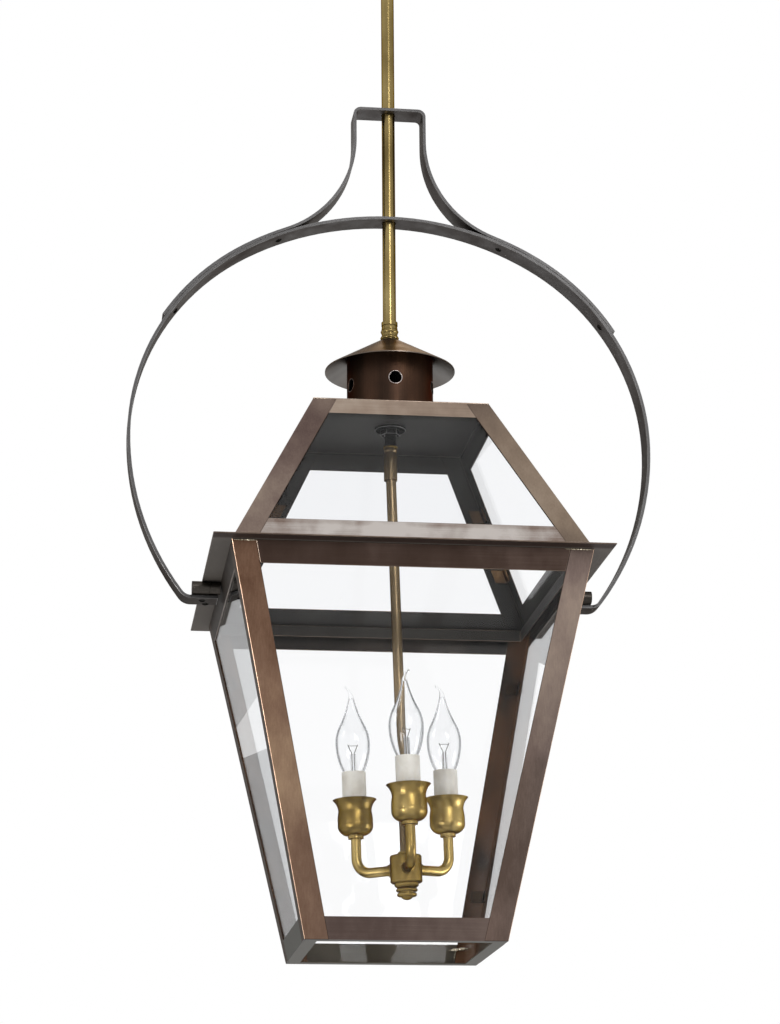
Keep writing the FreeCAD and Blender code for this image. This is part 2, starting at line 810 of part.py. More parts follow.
def mirrored(thing):
    """Left-hand twin of a right-hand piece."""
    twin = doc.addObject("Part::Mirroring", thing.Name + "Twin")
    twin.Source = thing
    twin.Normal = Vector(1, 0, 0)
    return twin


def make_pivots():
    """Hinge at each end of the yoke: one leaf under the eave, one on the hoop's tab, and their pin."""
    split = pivot_start + s.bracket_knuckle
    bracket = hinge_leaf("Bracket", up(ZERO), 1, (pivot_start, bracket_end), (pivot_start, split), [])
    holes = [("circle", x, y, rivet_radius + s.close_gap / 2) for x, y in leaf_rivet_spots()]
    leaf = hinge_leaf("Leaf", leaf_low, -1, (leaf_start, leaf_end), (split + s.seat_gap, leaf_end), holes)
    for label, right in (("pivot_bracket", bracket), ("pivot_leaf", leaf)):
        node(right, label + "_right")
        node(mirrored(right), label + "_left")
    hinge_pin = pivot_pin()
    group("pivot_pins", [hinge_pin, mirrored(hinge_pin)])


def hinge_leaf(name, face, side, plate_span, knuckle_span, holes):
    """Right-hand leaf with its outer face at a height, above the pin (side 1) or below it (-1)."""
    body = new_body(name)
    start, end = plate_span
    plate = [(start, leaf_front), (end, leaf_front), (end, leaf_back), (start, leaf_back)]
    low = face - s.leaf_thickness if side > 0 else face
    flat = draw(body, name + "Outline", "XY_Plane", [plate] + holes, low)
    pad(body, name + "Plate", flat, s.leaf_thickness)
    start, end = knuckle_span
    roll = draw(body, name + "Knuckle", "YZ_Plane", knuckle_loops(face, side), start)
    pad(body, name + "Roll", roll, end - start)
    return body


def knuckle_loops(face, side):
    """Section of a knuckle rolled from the front edge of a leaf, with the pin's bore."""
    inner_face = face - s.leaf_thickness * side
    rise = knuckle_room - s.leaf_thickness
    root_reach = pin_setback + root(knuckle_radius * knuckle_radius - rise * rise)
    roll = (knuckle_radius, side)
    outline = [(leaf_front, face), (pin_setback, face),
               (pin_setback, pin_height + knuckle_radius * side) + roll,
               (pin_setback - knuckle_radius, pin_height) + roll,
               (pin_setback, pin_height - knuckle_radius * side) + roll,
               (root_reach, inner_face), (leaf_front, inner_face)]
    return [outline, ("circle", pin_setback, pin_height, s.pin_diameter / 2 + s.close_gap)]


def pivot_pin():
    """Right-hand hinge pin along X, flush with both knuckles."""
    radius = s.pin_diameter / 2
    edge = radius / 4
    length = leaf_end - pivot_start
    body = turned("PivotPin", [(ZERO, ZERO), (radius - edge, ZERO), (radius, edge), (radius, length - edge),
                               (radius - edge, length), (ZERO, length)])
    body.Placement = Placement(Vector(pivot_start.value, pin_setback.value, pin_height.value),
                               Rotation(Vector(0, 1, 0), 90))
    return body


# Light cluster: heights are counted from the swivel at the inner stem's upper end
swivel = ceiling - s.stem_coupling_drop - s.stem_coupling_length + s.stem_seat
hub_top = s.hub_seat - s.stem_length
arm_level = hub_top - s.hub_height / 2
cup_base = arm_level + s.arm_rise
sleeve_top = cup_base + s.cup_height + s.sleeve_height
socket_top = sleeve_top - s.socket_drop


def hung(azimuth=None, tip=None):
    """Placement of a piece of the cluster, on the leaning stem or on one of its arms."""
    place = Placement(Vector(0, 0, up(swivel).value), Rotation(Vector(0, 1, 0), -SIZES["stem_lean"]))
    if azimuth is None:
        return place * spin(-SIZES["cluster_turn"])
    turn = azimuth - SIZES["cluster_turn"]
    place = place * spin(turn)
    if tip is None:
        return place
    return place * Placement(Vector(SIZES["arm_reach"], 0, 0), Rotation(Vector(0, 0, 1), tip - turn))


def make_stem():
    """Coupling under the ceiling, inner stem, hub and finial."""
    radius = s.stem_coupling_diameter / 2
    top = up(ceiling - s.stem_coupling_drop)
    low = top - s.stem_coupling_length
    bead_low = top - s.stem_bead
    round_off = s.stem_bead / 4
    waist_radius = radius - round_off / 2
    nipple_end = up(ceiling - s.nipple_drop) - s.close_gap
    stem_end = up(swivel) + s.close_gap
    loose = s.stem_diameter / 2 + s.close_gap * 3
    node(turned("StemCoupling", [
        (loose, low), (radius, low), (radius, bead_low - round_off), (waist_radius, bead_low - round_off),
        (waist_radius, bead_low), (radius, bead_low + round_off), (radius, top - round_off),
        (waist_radius, top), (nipple_hole, top), (nipple_hole, nipple_end), (wire_radius, nipple_end),
        (wire_radius, stem_end), (loose, stem_end)]), "stem_coupling")

    stem = turned("Stem", [(s.stem_bore / 2, -s.stem_length), (s.stem_diameter / 2, -s.stem_length),
                           (s.stem_diameter / 2, ZERO), (s.stem_bore / 2, ZERO)])
    stem.Placement = hung()
    node(stem, "inner_stem")

    hub_radius, edge = s.hub_diameter / 2, s.sheet
    hub_low = hub_top - s.hub_height
    stem_hole = s.stem_diameter / 2 + s.close_gap
    collar = stem_hole + s.sheet * 2
    collar_top = hub_top + s.hub_collar
    hub_floor = hub_top - s.hub_seat - s.close_gap
    hub = turned("Hub", [
        (ZERO, hub_low), (hub_radius - edge, hub_low), (hub_radius, hub_low + edge),
        (hub_radius, hub_top - edge), (hub_radius - edge, hub_top), (collar, hub_top),
        (collar, collar_top), (stem_hole, collar_top), (stem_hole, hub_floor), (ZERO, hub_floor)])
    boss_start = s.boss_reach - s.arm_seat - edge
    boss = pad(hub, "Boss", draw(hub, "BossEdge", "XZ_Plane", [
        ("circle", ZERO, arm_level, s.boss_diameter / 2)], boss_start), s.boss_reach - boss_start)
    socket = pocket(hub, "ArmSocket", draw(hub, "ArmSocketEdge", "XZ_Plane", [
        ("circle", ZERO, arm_level, s.arm_diameter / 2 + s.close_gap)], s.boss_reach), s.arm_seat)
    pattern(hub, [boss, socket], len(ARM_AZIMUTHS))
    hub.Placement = hung()
    node(hub, "cluster_hub")

    wide = s.finial_diameter / 2
    step = s.finial_height / 6
    finial = turned("Finial", [
        (ZERO, hub_low), (wide, hub_low), (wide, hub_low - step), (wide * 0.72, hub_low - step * 2),
        (wide * 0.82, hub_low - step * 2, step * 0.55, -1), (wide * 0.82, hub_low - step * 3),
        (wide * 0.62, hub_low - step * 3), (wide * 0.62, hub_low - step * 3.5),
        (wide * 0.74, hub_low - step * 3.5, step * 0.7, -1), (wide * 0.66, hub_low - step * 4.8),
        (wide * 0.5, hub_low - step * 4.9, wide * 0.7, -1), (ZERO, hub_low - s.finial_height)])
    finial.Placement = hung()
    node(finial, "finial")


def make_arm(side, azimuth):
    """Bent arm with the collar and nipple that carry a cup."""
    reach, bend = s.arm_reach, s.arm_bend
    start = s.boss_reach - s.arm_seat + s.close_gap
    collar_low = cup_base - s.arm_collar_height
    body = new_body("Arm")
    path = draw(body, "ArmPath", "XZ_Plane", [[
        (start, arm_level), (reach - bend, arm_level, bend, 1), (reach, arm_level + bend),
        (reach, collar_low)]], closed=False)
    section = draw(body, "ArmSection", "YZ_Plane", [("circle", ZERO, arm_level, s.arm_diameter / 2)], start)
    sweep = body.newObject("PartDesign::AdditivePipe", "ArmTube")
    sweep.Profile = section
    sweep.Spine = path
    collar = draw(body, "ArmCollar", "XY_Plane", [("circle", reach, ZERO, s.arm_collar / 2)], collar_low)
    pad(body, "ArmCollarPad", collar, s.arm_collar_height)
    tip = draw(body, "ArmNipple", "XY_Plane", [("circle", reach, ZERO, s.arm_nipple / 2)], cup_base)
    pad(body, "ArmNipplePad", tip, s.arm_nipple_height)
    body.Placement = hung(azimuth)
    node(body, "arm_" + side)


def make_candle(side, azimuth):
    """Cup, sleeve and socket at the end of an arm."""
    wall = s.cup_wall
    sizes = (s.cup_foot, s.cup_belly, s.cup_waist, s.cup_rim)
    foot, belly, waist_radius, rim = (size / 2 for size in sizes)
    belly_top, waist_top = cup_base + s.cup_belly_height, cup_base + s.cup_waist_height
    rim_top = cup_base + s.cup_height
    swell = belly - foot
    bowl = (swell * swell + s.cup_belly_height * s.cup_belly_height) / (2 * s.cup_belly_height)
    flank = s.cup_waist_height * 2
    flare_rise, flare_out = s.cup_height - s.cup_waist_height, rim - waist_radius
    flare = (flare_rise * flare_rise + flare_out * flare_out) / (2 * flare_out)
    hole = s.arm_nipple / 2 + s.close_gap
    floor = cup_base + wall
    cup = turned("Cup", [
        (hole, cup_base), (foot, cup_base, bowl, 1), (belly, belly_top, flank, 1),
        (waist_radius, waist_top, flare, -1), (rim, rim_top), (rim - wall, rim_top, flare + wall, 1),
        (waist_radius - wall, waist_top, flank, -1), (belly - wall, belly_top, bowl - wall, -1),
        (foot, floor), (hole, floor)])
    cup.Placement = hung(azimuth, 0)
    node(cup, "candle_cup_" + side)

    outer = s.sleeve_diameter / 2
    inner = outer - s.sleeve_wall
    low = cup_base + s.sleeve_lift
    sleeve = turned("Sleeve", [(inner, low), (outer, low), (outer, sleeve_top), (inner, sleeve_top)])
    sleeve.Placement = hung(azimuth, 0)
    node(sleeve, "candle_sleeve_" + side)

    shell = s.socket_diameter / 2
    base = cup_base + s.socket_lift
    bore = s.lamp_base_diameter / 2 + s.lamp_base_gap
    bore_floor = sleeve_top - s.lamp_neck_drop - s.lamp_base_length - s.lamp_base_gap
    socket = turned("Socket", [
        (hole, base), (shell, base), (shell, socket_top), (bore, socket_top), (bore, bore_floor),
        (ZERO, bore_floor), (ZERO, cup_base + s.arm_nipple_height + s.close_gap),
        (hole, cup_base + s.arm_nipple_height + s.close_gap)])
    socket.Placement = hung(azimuth, 0)
    node(socket, "lamp_socket_" + side)


def make_lamp(side, azimuth, tip):
    """Clear bent-tip lamp: glass with its inner stem, and base with lead wires and filament."""
    glass = s.lamp_glass
    neck, belly = s.lamp_neck / 2, s.lamp_diameter / 2
    shoulder, point = s.lamp_shoulder / 2, s.lamp_point / 2
    low = sleeve_top - s.lamp_neck_drop
    belly_at, shoulder_at = sleeve_top + s.lamp_belly_height, sleeve_top + s.lamp_shoulder_height
    point_at = sleeve_top + s.lamp_point_height
    rise_low, rise_up = belly_at - low, shoulder_at - belly_at
    lower = (rise_low * rise_low + (belly - neck) * (belly - neck)) / (2 * (belly - neck))
    upper = (rise_up * rise_up + (belly - shoulder) * (belly - shoulder)) / (2 * (belly - shoulder))
    taper_radius = s.lamp_height * 1.2
    stem, bore = s.lamp_stem / 2, s.lamp_stem_bore / 2
    floor = low + glass
    bulb = turned("LampGlass", [
        (bore, low), (neck, low, lower, 1), (belly, belly_at, upper, 1),
        (shoulder, shoulder_at, taper_radius, -1), (point, point_at), (ZERO, point_at),
        (ZERO, point_at - glass * 2), (point - glass, point_at - glass * 2, taper_radius + glass, 1),
        (shoulder - glass, shoulder_at, upper - glass, -1), (belly - glass, belly_at, lower - glass, -1),
        (neck - glass * 1.2, floor), (stem, floor), (stem, sleeve_top + s.lamp_stem_height),
        (bore, sleeve_top + s.lamp_stem_height)])
    bend = s.lamp_tip_offset
    tip_radius = s.lamp_tip / 2
    tip_top = sleeve_top + s.lamp_height - tip_radius
    tip_rise = tip_top - point_at
    rings = [(ZERO, point_at, point), (bend * 0.2, point_at + tip_rise * 0.45, point * 0.62),
             (bend, tip_top, tip_radius * 0.7)]
    sections = [draw(bulb, "TipRing", "XY_Plane", [("circle", x, ZERO, radius)], level)
                for x, level, radius in rings]
    loft(bulb, "Tip", sections).Ruled = False
    bead = bulb.newObject("PartDesign::AdditiveSphere", "TipBead")
    bead.AttachmentSupport = (plane(bulb, "XY_Plane"), "")
    bead.MapMode = "FlatFace"
    bead.setExpression("AttachmentOffset.Base.x", bend.text)
    bead.setExpression("AttachmentOffset.Base.z", tip_top.text)
    bead.setExpression("Radius", tip_radius.text)
    bulb.Placement = hung(azimuth, tip)
    node(bulb, "lamp_glass_" + side)

    shell = s.lamp_base_diameter / 2
    contact = shell / 2
    foot = low - s.lamp_base_length
    base = turned("LampBase", [
        (ZERO, foot), (contact, foot), (contact, foot + shell / 4), (shell * 0.8, foot + shell / 2),
        (shell, foot + shell), (shell, low), (ZERO, low)])
    add_filament(base, low)
    base.Placement = hung(azimuth, tip)
    node(base, "lamp_base_" + side)


def add_filament(base, low):
    """Two lead wires that spread above the glass stem, with the filament across their ends."""
    wire = s.lamp_wire / 2
    inset = s.lamp_stem_bore / 2 - wire - s.close_gap
    fork, top = sleeve_top + s.lamp_stem_height + wire, sleeve_top + s.lamp_wire_height
    for side in (1, -1):
        path = draw(base, "WirePath", "XZ_Plane", [[
            (inset * side, low - wire), (inset * side, fork), (s.lamp_wire_spread * side, top)]], closed=False)
        section = draw(base, "WireSection", "XY_Plane", [("circle", inset * side, ZERO, wire)], low - wire)
        sweep = base.newObject("PartDesign::AdditivePipe", "LeadWire")
        sweep.Profile = section
        sweep.Spine = path
        sweep.Transition = "Right corner"
    across = draw(base, "FilamentSection", "YZ_Plane", [("circle", ZERO, top - wire * 3, wire * 0.7)],
                  -s.lamp_wire_spread)
    pad(base, "Filament", across, s.lamp_wire_spread * 2)


def check_and_write():
    """Stop on any failed object or bad shape, then write one STEP file for each piece."""
    doc.recompute()
    for thing in doc.Objects:
        if "Invalid" in thing.State or "Error" in thing.State:
            raise RuntimeError("failed: %s (%s)" % (thing.Label, thing.State))
    for thing in nodes:
        shape = thing.Shape
        if shape.isNull() or not shape.isValid() or shape.Volume <= 0:
            raise RuntimeError("bad shape: " + thing.Label)
    os.makedirs("parts", exist_ok=True)
    for thing in nodes:
        thing.Shape.exportStep("parts/%s.step" % thing.Label)


fill_sheet()
make_rod()
make_chimney()
make_roof()
make_body()
make_clips()
make_yoke()
make_stem()
for arm_side, arm_azimuth in ARM_AZIMUTHS.items():
    make_arm(arm_side, arm_azimuth)
    make_candle(arm_side, arm_azimuth)
    make_lamp(arm_side, arm_azimuth, TIP_AZIMUTHS[arm_side])
check_and_write()
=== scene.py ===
"""Looks of the glazed pendant lantern: its finishes, its small trim, the studio round it and the camera."""

import math

import bmesh
import bpy
from mathutils import Euler, Matrix, Vector, noise


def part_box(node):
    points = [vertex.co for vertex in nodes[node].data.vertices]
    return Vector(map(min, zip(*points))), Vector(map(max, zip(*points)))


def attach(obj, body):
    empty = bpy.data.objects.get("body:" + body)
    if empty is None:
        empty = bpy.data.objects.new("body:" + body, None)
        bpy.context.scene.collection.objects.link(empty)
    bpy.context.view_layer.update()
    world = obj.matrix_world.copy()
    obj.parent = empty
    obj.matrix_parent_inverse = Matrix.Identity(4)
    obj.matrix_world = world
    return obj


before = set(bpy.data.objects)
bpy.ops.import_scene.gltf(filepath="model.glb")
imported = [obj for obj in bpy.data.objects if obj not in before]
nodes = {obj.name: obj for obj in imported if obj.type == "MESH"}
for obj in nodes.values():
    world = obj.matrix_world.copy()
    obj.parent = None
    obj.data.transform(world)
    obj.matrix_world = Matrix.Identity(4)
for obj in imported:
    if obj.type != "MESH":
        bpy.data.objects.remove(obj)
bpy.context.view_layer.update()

# Camera of the photograph: place in metres, angles in degrees, focal length in pixels
CAMERA_PLACE = Vector((-0.3082, -2.3646, -1.2693))
CAMERA_YAW = 7.409
CAMERA_PITCH = 16.474
CAMERA_ROLL = -0.384
FOCAL_PIXELS = 2646.4
IMAGE_HEIGHT = 1024
SENSOR = 36.0
CLIP_END = 200.0

# The studio: floor, surroundings and the point that the lights aim at
FLOOR_LEVEL = -2.4
FLOOR_SIZE = 30.0
FLOOR_TONE = 0.86
FLOOR_GLOW = 0.75
MATT = 0.9
WORLD_LIGHT = 0.55
WHITE = (1.0, 1.0, 1.0)
LIGHT_TARGET = Vector((0.0, 0.0, -0.70))

# Heights that the finishes follow, from the frame
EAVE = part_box("corner_post_front_left")[1].z
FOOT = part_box("corner_post_front_left")[0].z
ROOF_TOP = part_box("roof_plate")[1].z

# Width of a post's and a hip's face, and the chimney's round vent holes, in metres
POST_FACE = 0.0212
HIP_FACE = 0.0212
VENT_COUNT = 5
VENT_RADIUS = 0.00625
VENT_HEIGHT = 0.037

# The lantern's corners as signs along x and y, and how finely the beads are divided
CORNERS = [(-1, -1), (1, -1), (1, 1), (-1, 1)]
TUBE_SIDES = 8
RING_STEPS = 48
VENT_STEPS = 40
SEAM_STEPS = 12

# Stretch of brush lines that run upright, that run level, that run no way, and that are drawn out
UPRIGHT_GRAIN = (1.0, 1.0, 0.02)
LEVEL_GRAIN = (0.02, 0.02, 1.0)
EVEN_GRAIN = (1.0, 1.0, 1.0)
SOFT_GRAIN = (0.1, 0.1, 0.1)

# Noises of the finishes: waves a metre, detail, stretch and roughness, the last two where they matter
CLOUD = (9.0, 3.0, (1.0, 1.0, 0.6))
MOTTLE = (55.0, 2.0, (1.0, 1.0, 0.5))
SPECK = (900.0, 3.0)
INSIDE_CLOUD = (14.0, 3.0, (1.0, 1.0, 0.5))
BRUSH_WAVES = 700.0
BRUSH_DETAIL = 2.0
BAND_DETAIL = 2.0
BAND_STRETCH = (1.0, 1.0, 0.15)
EDGE_PATCHES = (60.0, 3.0)
BRASS_CLOUD = (30.0, 3.0, (1.0, 1.0, 0.4))
BRASS_SPECK = (1300.0, 3.0, (1, 1, 1), 0.7)
MOULDED_CLOUD = (60.0, 3.0)
MOULDED_GRAIN = (1500.0, 3.0)
SOLDER_SKIN = (500.0, 3.0)

# Share of each noise in the tone of sheet metal
CLOUD_WEIGHT = 1.0
MOTTLE_WEIGHT = 0.7
BRUSH_WEIGHT = 0.3
SPECK_WEIGHT = 0.2
BAND_WEIGHT = 2.0

# Share of the fine noise in the tone of brass and mouldings, and in the relief of sheet metal
BRASS_SPECK_WEIGHT = 0.35
MOULDED_GRAIN_WEIGHT = 0.3
RELIEF_SPECK_WEIGHT = 0.4

# Fine relief: depth in metres, and strength
SHEET_DEPTH = 0.00002
BRASS_RELIEF = (0.00003, 0.3)
MOULDED_RELIEF = (0.00003, 0.4)
SOLDER_RELIEF = (0.0001, 0.4)

# Gloss by tone: dark and light tone, and how much rougher and smoother the surface is at these
SHEET_GLOSS = (0.2, 0.8, 0.06, 0.05)
BRASS_GLOSS = (0.3, 0.7, 0.06, 0.04)
MOULDED_GLOSS = (0.35, 0.65, 0.08, 0.05)

# How nearly a face must look a way to count, and how much looking up counts as looking out
FRONT_FACING = 0.8
LEFT_FACING = 0.7
DOWN_FACING = 0.9
CORNER_FACING = 0.85
UPWARD_SHARE = 0.02

# Where tones change over, in metres: between left and right, and behind the eave's front lip
SIDE_REACH = 0.12
FRONT_LIP = (-0.18, -0.15)

# Places where tones from dark to light stand on a ramp
WIDE_PLACES = (0.0, 0.5, 1.0)
NARROW_PLACES = (0.3, 0.5, 0.7)

# Roughness and shine of inner faces, and slants at which panes and blown walls deepen in tone
INSIDE_ROUGH = 0.62
INSIDE_SHINE = 0.25
PANE_SLANT = (0.72, 0.88)
LAMP_SLANT = (0.3, 0.8)
OUTLINE_SLANT = (0.52, 0.8)

# Refractive indices that give each glass its sheen, and how deep light goes into a sleeve, in metres
LAMP_INDEX = 1.3
PANE_INDEX = 1.2
BRIGHT_INDEX = 1.12
SCATTER_DEPTH = (0.004, 0.003, 0.002)

# Rounding of edges: gap that is joined first in metres, facets, and least angle in degrees
WELD_GAP = 0.00001
EASE_SEGMENTS = 2
EASE_ANGLE = 40


def paint(red, green, blue):
    """Linear colour from the 0 to 255 values of a screen."""
    return tuple(((value / 255 + 0.055) / 1.055) ** 2.4 for value in (red, green, blue))


def paints(*colours):
    """Linear colours from several screen colours, in their order."""
    return tuple(paint(*colour) for colour in colours)


# Dark tones of inner faces, partly dark patina and partly painted shade
CHARCOAL = paint(52, 51, 49)
DARK_PATINA_AND_SHADE = paint(34, 33, 32)
# Colours of eased edges and seams; the light ones paint highlight lines along the edges
COPPER_EDGE = paint(206, 172, 146)
HIP_EDGE = paint(158, 148, 136)
DARK_EDGE = paint(50, 40, 34)
STRAP_EDGE = paint(132, 131, 130)
RAIL_EDGE = paint(128, 112, 100)


class Shader:
    """A material's node tree, with short calls for the nodes that the finishes share."""

    def __init__(self, name):
        self.material = bpy.data.materials.new(name)
        self.material.use_nodes = True
        self.tree = self.material.node_tree
        self.surface = self.tree.nodes["Principled BSDF"]
        self.output = self.tree.nodes["Material Output"]
        self.place = self.node("ShaderNodeTexCoord").outputs["Object"]

    def node(self, kind, **settings):
        made = self.tree.nodes.new(kind)
        for key, value in settings.items():
            setattr(made, key, value)
        return made

    def feed(self, socket, value):
        """Link a socket, or set it to a number or colour."""
        if isinstance(value, bpy.types.NodeSocket):
            self.tree.links.new(value, socket)
        elif isinstance(value, tuple) and socket.type == "RGBA":
            socket.default_value = value + (1.0,)
        else:
            socket.default_value = value

    def put(self, **values):
        """Set or link the surface's inputs, spaces in their names written as underscores."""
        for name, value in values.items():
            self.feed(self.surface.inputs[name.replace("_", " ")], value)

    def noise(self, scale, detail=3.0, stretch=(1, 1, 1), rough=0.55):
        """Noise over the object's own coordinates, scale in waves a metre."""
        mapping = self.node("ShaderNodeMapping")
        mapping.inputs["Scale"].default_value = stretch
        self.feed(mapping.inputs["Vector"], self.place)
        texture = self.node("ShaderNodeTexNoise")
        self.feed(texture.inputs["Vector"], mapping.outputs["Vector"])
        texture.inputs["Scale"].default_value = scale
        texture.inputs["Detail"].default_value = detail
        texture.inputs["Roughness"].default_value = rough
        return texture.outputs["Fac"]

    def ramp(self, factor, stops):
        """Colours or greys at places along a factor."""
        ramp = self.node("ShaderNodeValToRGB")
        elements = ramp.color_ramp.elements
        while len(elements) < len(stops):
            elements.new(0.5)
        for element, (place, colour) in zip(elements, stops):
            element.position = place
            element.color = (colour if isinstance(colour, tuple) else (colour,) * 3) + (1.0,)
        self.feed(ramp.inputs["Fac"], factor)
        return ramp.outputs["Color"]

    def calculate(self, operation, first, second=0.0):
        made = self.node("ShaderNodeMath", operation=operation)
        self.feed(made.inputs[0], first)
        self.feed(made.inputs[1], second)
        return made.outputs["Value"]

    def vector(self, operation, first, second):
        made = self.node("ShaderNodeVectorMath", operation=operation)
        self.feed(made.inputs[0], first)
        self.feed(made.inputs[1], second)
        return made.outputs["Value"] if operation == "DOT_PRODUCT" else made.outputs["Vector"]

    def span(self, value, low, high, out_low, out_high):
        """A value's range mapped to another range, clamped."""
        made = self.node("ShaderNodeMapRange")
        limits = {"From Min": low, "From Max": high, "To Min": out_low, "To Max": out_high}
        for name, number in limits.items():
            made.inputs[name].default_value = number
        self.feed(made.inputs["Value"], value)
        return made.outputs["Result"]

    def mix(self, factor, first, second):
        """The first colour where the factor is 0, the second where it is 1."""
        made = self.node("ShaderNodeMix", data_type="RGBA")
        self.feed(made.inputs[0], factor)
        self.feed(made.inputs[6], first)
        self.feed(made.inputs[7], second)
        return made.outputs[2]

    def blend(self, factor, first, second):
        """The first surface where the factor is 0, the second where it is 1."""
        made = self.node("ShaderNodeMixShader")
        self.feed(made.inputs[0], factor)
        self.feed(made.inputs[1], first)
        self.feed(made.inputs[2], second)
        return made.outputs["Shader"]

    def gloss(self, tone, rough, dark, light, rougher, smoother):
        """Roughness that falls as the tone rises from dark to light."""
        return self.span(tone, dark, light, rough + rougher, rough - smoother)

    def vary(self, base, parts):
        """A base tone with noises laid over it, each by a weight either way of its middle."""
        total = base
        for factor, weight in parts:
            shift = self.calculate("MULTIPLY", self.calculate("SUBTRACT", factor, 0.5), weight)
            total = self.calculate("ADD", shift, total)
        return total

    def bump(self, height, distance, strength):
        """Fine relief from a height, its depth in metres."""
        made = self.node("ShaderNodeBump")
        made.inputs["Strength"].default_value = strength
        made.inputs["Distance"].default_value = distance
        self.feed(made.inputs["Height"], height)
        self.feed(self.surface.inputs["Normal"], made.outputs["Normal"])

    def along(self, axis, low, high, stops):
        """Tone along an axis: places run from 0 at the low end to 1 at the high one."""
        parts = self.node("ShaderNodeSeparateXYZ")
        self.feed(parts.inputs[0], self.place)
        return self.ramp(self.span(parts.outputs[axis], low, high, 0.0, 1.0), stops)

    def facing(self, direction, least=0.0):
        """1 on faces that look the way of a direction, 0 on the others."""
        geometry = self.node("ShaderNodeNewGeometry")
        alike = self.vector("DOT_PRODUCT", geometry.outputs["Normal"], direction)
        return self.calculate("GREATER_THAN", alike, least)

    def facing_out(self):
        """1 on faces that look away from the lantern's axis or up, 0 on the others."""
        from_axis = self.vector("MULTIPLY", self.place, (1.0, 1.0, 0.0))
        return self.facing(self.vector("ADD", from_axis, (0.0, 0.0, UPWARD_SHARE)))

    def seen_directly(self):
        """1 where a camera, mirror or glass ray looks."""
        path = self.node("ShaderNodeLightPath")
        seen = self.calculate("MAXIMUM", path.outputs["Is Camera Ray"], path.outputs["Is Glossy Ray"])
        return self.calculate("MAXIMUM", seen, path.outputs["Is Transmission Ray"])


class WorldShader(Shader):
    """The world's node tree, with the same short calls."""

    def __init__(self, world):
        world.use_nodes = True
        self.tree = world.node_tree
        self.surface = self.tree.nodes["Background"]
        self.output = self.tree.nodes["World Output"]


def sheet_metal(name, tones, levels, grain, edge_tint, inside=None, under=None, flank=None, right=None,
                across=None, front=None, rough=0.34, band=None, dull=True, relief=0.3):
    """Aged satin sheet: tone by height, soft clouds and a faint brushed grain.

    tones run from dark to light. levels is (low, high, stops) for the tone by height and across the same
    from left to right, the ramps on which the finishes paint highlights and shade. grain is the stretch of
    the brush lines, edge_tint the metal's tone at a slant. inside is the two colours of inner faces, partly
    dark patina and partly painted shade, dull where these are not bare metal. under is the colours of
    level undersides at the front and elsewhere, painted shade and painted reflection. flank is the colour
    of faces that look left and front the colour of faces that look to the front, both painted shade. right
    is the tones and levels that take over at the right, painted light and shade by side. band is the
    waves a metre of upright streaks, relief the strength of the grain.
    """
    shader = Shader(name)
    cloud = shader.noise(*CLOUD)
    brush = shader.noise(BRUSH_WAVES, BRUSH_DETAIL, grain)
    speck = shader.noise(*SPECK)
    mottle = shader.noise(*MOTTLE)
    layers = [(cloud, CLOUD_WEIGHT), (mottle, MOTTLE_WEIGHT), (brush, BRUSH_WEIGHT), (speck, SPECK_WEIGHT)]
    if band:
        layers.append((shader.noise(band, BAND_DETAIL, BAND_STRETCH), BAND_WEIGHT))
    # Painted light and shade from left to right
    if across:
        layers.append((shader.along("X", *across), 1.0))
    # Tone by height, the ramp on which the finishes paint highlights and shade
    tone = shader.vary(shader.along("Z", *levels), layers)
    colour = shader.ramp(tone, list(zip(WIDE_PLACES, tones)))
    # Painted light and shade by side: the right takes its own tones and levels
    if right:
        far_tones, far_levels = right
        side = shader.along("X", -SIDE_REACH, SIDE_REACH, [(0.0, 0.0), (1.0, 1.0)])
        far = shader.vary(shader.along("Z", *far_levels), layers)
        colour = shader.mix(side, colour, shader.ramp(far, list(zip(WIDE_PLACES, far_tones))))
    # Painted shade on faces that look to the front
    if front:
        colour = shader.mix(shader.facing((0.0, -1.0, 0.0), FRONT_FACING), colour, front)
    # Painted shade on faces that look left
    if flank:
        left = shader.facing((-1.0, 0.0, 0.0), LEFT_FACING)
        colour = shader.mix(left, colour, flank)
    metal = 1.0
    gloss = shader.gloss(tone, rough, *SHEET_GLOSS)
    # Inner faces take darker colours, partly dark patina and partly painted shade
    if inside:
        inside_mottle = shader.noise(*INSIDE_CLOUD)
        shade = shader.ramp(inside_mottle, [(0.38, inside[0]), (0.62, inside[1])])
        out = shader.facing_out()
        # Painted shade and reflection on level undersides, one colour at the front and one behind it
        if under:
            behind = shader.along("Y", *FRONT_LIP, [(0.5, 0.0), (0.7, 1.0)])
            below = shader.mix(behind, under[0], under[1])
            shade = shader.mix(shader.facing((0.0, 0.0, -1.0), DOWN_FACING), shade, below)
        colour = shader.mix(out, shade, colour)
        if dull:
            metal = shader.calculate("GREATER_THAN", out, left) if flank else out
            gloss = shader.calculate("MAXIMUM", gloss, shader.span(metal, 0.0, 1.0, INSIDE_ROUGH, 0.0))
            shader.put(Specular_IOR_Level=INSIDE_SHINE)
    shader.put(Base_Color=colour, Metallic=metal, Roughness=gloss, Specular_Tint=edge_tint)
    shader.bump(shader.vary(brush, [(speck, RELIEF_SPECK_WEIGHT)]), SHEET_DEPTH, relief)
    return shader.material


